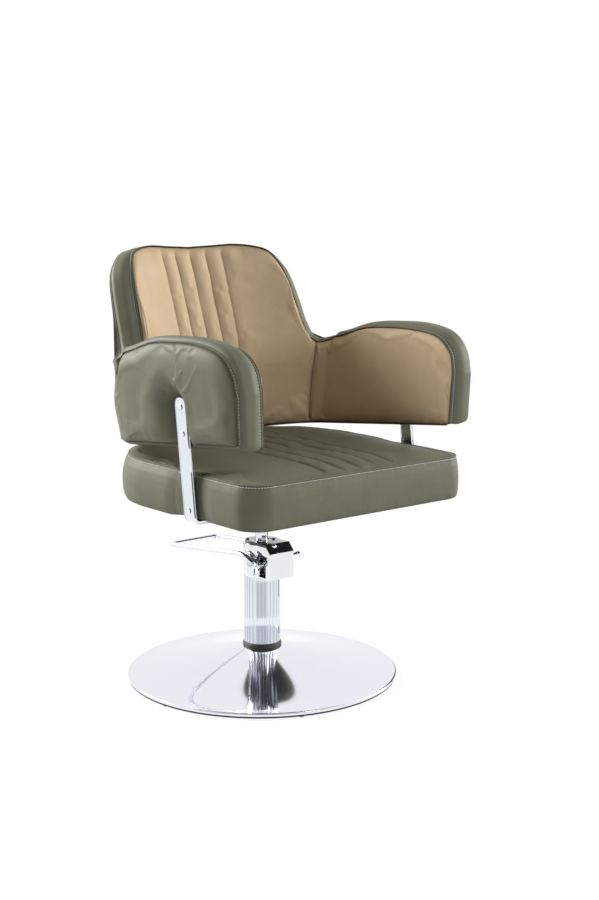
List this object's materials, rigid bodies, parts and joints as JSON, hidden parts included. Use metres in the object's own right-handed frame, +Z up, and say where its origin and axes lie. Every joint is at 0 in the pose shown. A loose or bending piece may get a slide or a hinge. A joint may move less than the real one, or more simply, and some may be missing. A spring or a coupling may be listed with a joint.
{
  "type": "hairdressing chair",
  "caption": "Upholstered tub chair for hairdressing on a swivelling foot-pumped hydraulic column with a loop pedal, flat side bars and a domed round base.",
  "frame": {"origin": "on the floor, on the column's axis", "axes": "+Z up, the sitter faces -Y, +X to the sitter's left"},
  "size_m": [0.6494, 0.6547, 0.9443],
  "materials": {
    "bright_chrome": "polished chrome plate",
    "polished_cast": "polished casting",
    "turned_steel": "turned steel",
    "zinc_screws": "bright zinc",
    "dark_screws": "blackened steel",
    "black_steel": "black paint",
    "black_gloss": "gloss black enamel",
    "bearing_bronze": "turned bronze",
    "dark_rubber": "smooth rubber",
    "pale_nylon": "moulded nylon",
    "birch_ply": "raw plywood",
    "olive_leather": "semi-gloss leatherette with a fine grain",
    "tan_leather": "semi-gloss leatherette with a fine grain"
  },
  "bodies": {
    "pump": {"base_disc": "bright_chrome", "base_plate": "black_steel", "base_ring": "dark_rubber", "base_glides": "pale_nylon", "flange_bolts": "turned_steel", "foot_collar": "dark_rubber", "reservoir_tube": "turned_steel", "pressure_cylinder": "turned_steel", "column_cover": "bright_chrome", "pump_head": "polished_cast", "guide_bush": "bearing_bronze", "ram_seal": "dark_rubber", "head_lid": "black_gloss", "lid_screws": "dark_screws", "valve_plate": "black_gloss", "filler_plug": "bright_chrome", "valve_knob": "polished_cast", "pivot_screws": "turned_steel"},
    "plunger": {"pump_plunger": "turned_steel", "plunger_spring": "turned_steel"},
    "pedal": {"pedal": "bright_chrome", "pedal_cheeks": "bright_chrome", "roller_pin": "turned_steel"},
    "roller": {"pedal_roller": "bright_chrome"},
    "piston": {"piston_foot": "black_steel"},
    "chair": {"ram": "bright_chrome", "seat_plate": "black_steel", "seat_bolts": "zinc_screws", "seat_board": "birch_ply", "seat_cushion": "olive_leather", "side_bar_left": "bright_chrome", "side_bar_right": "bright_chrome", "bar_screws": "zinc_screws", "foot_bolts": "zinc_screws", "shell_core": "birch_ply", "shell_cover": "olive_leather", "back_pad": "tan_leather", "arm_pad_left": "tan_leather", "arm_pad_right": "tan_leather", "arm_outer_left": "olive_leather", "arm_outer_right": "olive_leather"}
  },
  "joints": [
    {"name": "lift", "type": "slide", "parent": "pump", "child": "piston", "axis": [0, 0, 1], "range_m": [-0.045, 0.105]},
    {"name": "swivel", "type": "hinge", "parent": "piston", "child": "chair", "pos_m": [0, 0, 0.2], "axis": [0, 0, 1], "continuous": true},
    {"name": "pedal_press", "type": "hinge", "parent": "pump", "child": "pedal", "pos_m": [0, -0.021, 0.264], "axis": [-1, 0, 0], "range_deg": [0, 22], "stiffness_Nm_per_rad": 8, "springref_deg": -22.92},
    {"name": "plunger_stroke", "type": "slide", "parent": "pump", "child": "plunger", "axis": [0, 0, 1], "range_m": [0, 0.009], "deforming": ["plunger_spring"]},
    {"name": "roller_spin", "type": "hinge", "parent": "pedal", "child": "roller", "pos_m": [0, -0.044, 0.262], "axis": [1, 0, 0], "continuous": true}
  ],
  "couplings": [
    {"joint": "plunger_stroke", "follows": "pedal_press", "m_per_rad": 0.0232}
  ]
}
